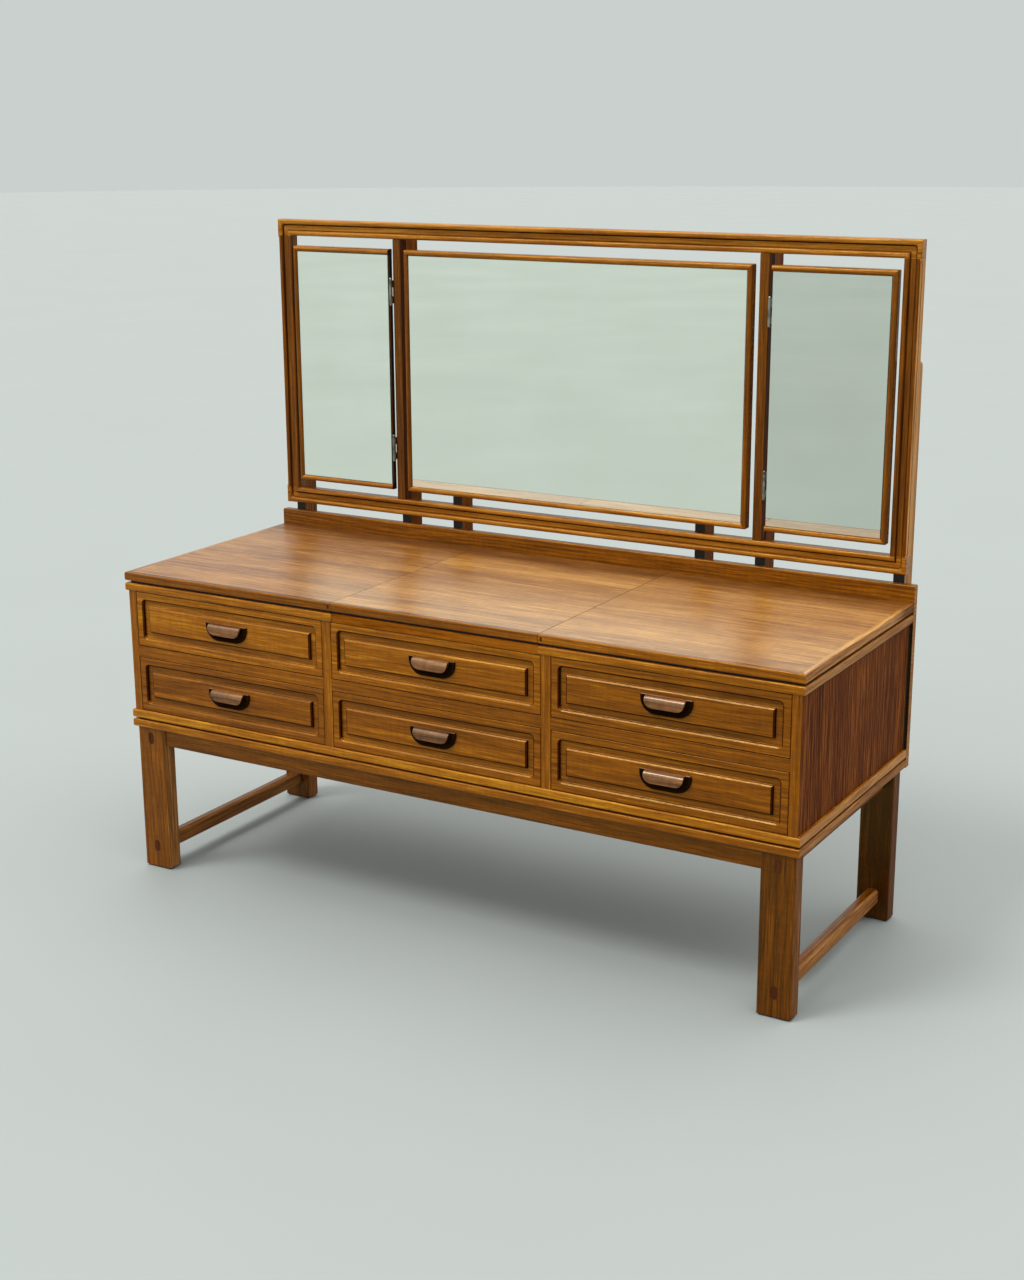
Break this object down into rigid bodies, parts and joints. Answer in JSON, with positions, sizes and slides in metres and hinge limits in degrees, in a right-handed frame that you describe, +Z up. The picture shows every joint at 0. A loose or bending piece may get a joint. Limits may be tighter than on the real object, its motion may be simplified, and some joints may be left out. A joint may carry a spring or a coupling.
{
  "type": "vanity table with mirror",
  "caption": "Low teak dressing table on board legs, with two rows of grooved-front drawers and a framed three-part mirror whose side wings swing forward.",
  "frame": {"origin": "on the floor, at the middle of the object's overall box", "axes": "+X to the right along the front, +Y to the back, +Z up"},
  "size_m": [1.35, 0.5568, 1.198],
  "materials": {
    "teak": "satin oiled teak, golden orange-brown",
    "dark_teak": "satin teak veneer, dark red-brown",
    "pale_teak": "satin teak, lighter warm brown",
    "walnut": "satin polished dark hardwood",
    "black_paint": "matt black paint",
    "nickel": "satin nickel plate",
    "mirror": "silvered mirror glass, faintly green"
  },
  "bodies": {
    "cabinet": {"leg_front_left": "teak", "leg_front_right": "teak", "leg_back_left": "teak", "leg_back_right": "teak", "base_rails": "teak", "stretchers": "teak", "base_board": "teak", "bottom_board": "teak", "dividers": "teak", "drawer_rails": "teak", "under_boards": "teak", "back_board": "teak", "frame_rails": "teak", "frame_stiles": "teak", "centre_strips": "teak", "side_left": "dark_teak", "side_right": "dark_teak", "centre_web": "dark_teak", "uprights": "dark_teak", "centre_board": "dark_teak", "drawer_runners": "pale_teak", "top_left": "pale_teak", "top_centre": "pale_teak", "top_right": "pale_teak", "centre_battens": "pale_teak", "tenon_plugs": "walnut", "glides": "black_paint", "case_back": "black_paint", "shadow_strips": "black_paint", "upright_facings": "black_paint", "screws": "nickel", "hinge_frame_leaves": "nickel", "hinge_pins": "nickel", "centre_glass": "mirror"},
    "wing_left": {"wing_left_board": "dark_teak", "wing_left_glass": "mirror", "wing_left_strips": "teak", "wing_left_leaves": "nickel"},
    "wing_right": {"wing_right_board": "dark_teak", "wing_right_glass": "mirror", "wing_right_strips": "teak", "wing_right_leaves": "nickel"},
    "drawer_left_lower": {"front_left_lower": "teak", "box_left_lower": "pale_teak", "pull_left_lower": "walnut"},
    "drawer_left_upper": {"front_left_upper": "teak", "box_left_upper": "pale_teak", "pull_left_upper": "walnut"},
    "drawer_centre_lower": {"front_centre_lower": "teak", "box_centre_lower": "pale_teak", "pull_centre_lower": "walnut"},
    "drawer_centre_upper": {"front_centre_upper": "teak", "box_centre_upper": "pale_teak", "pull_centre_upper": "walnut"},
    "drawer_right_lower": {"front_right_lower": "teak", "box_right_lower": "pale_teak", "pull_right_lower": "walnut"},
    "drawer_right_upper": {"front_right_upper": "teak", "box_right_upper": "pale_teak", "pull_right_upper": "walnut"}
  },
  "joints": [
    {"name": "wing_left_hinge", "type": "hinge", "parent": "cabinet", "child": "wing_left", "pos_m": [-0.3925, 0.2146, 0.9156], "axis": [0, 0, 1], "range_deg": [0, 110]},
    {"name": "wing_right_hinge", "type": "hinge", "parent": "cabinet", "child": "wing_right", "pos_m": [0.3925, 0.2146, 0.9156], "axis": [0, 0, -1], "range_deg": [0, 110]},
    {"name": "drawer_left_lower_slide", "type": "slide", "parent": "cabinet", "child": "drawer_left_lower", "axis": [0, -1, 0], "range_m": [0, 0.32]},
    {"name": "drawer_left_upper_slide", "type": "slide", "parent": "cabinet", "child": "drawer_left_upper", "axis": [0, -1, 0], "range_m": [0, 0.32]},
    {"name": "drawer_centre_lower_slide", "type": "slide", "parent": "cabinet", "child": "drawer_centre_lower", "axis": [0, -1, 0], "range_m": [0, 0.32]},
    {"name": "drawer_centre_upper_slide", "type": "slide", "parent": "cabinet", "child": "drawer_centre_upper", "axis": [0, -1, 0], "range_m": [0, 0.32]},
    {"name": "drawer_right_lower_slide", "type": "slide", "parent": "cabinet", "child": "drawer_right_lower", "axis": [0, -1, 0], "range_m": [0, 0.32]},
    {"name": "drawer_right_upper_slide", "type": "slide", "parent": "cabinet", "child": "drawer_right_upper", "axis": [0, -1, 0], "range_m": [0, 0.32]}
  ]
}
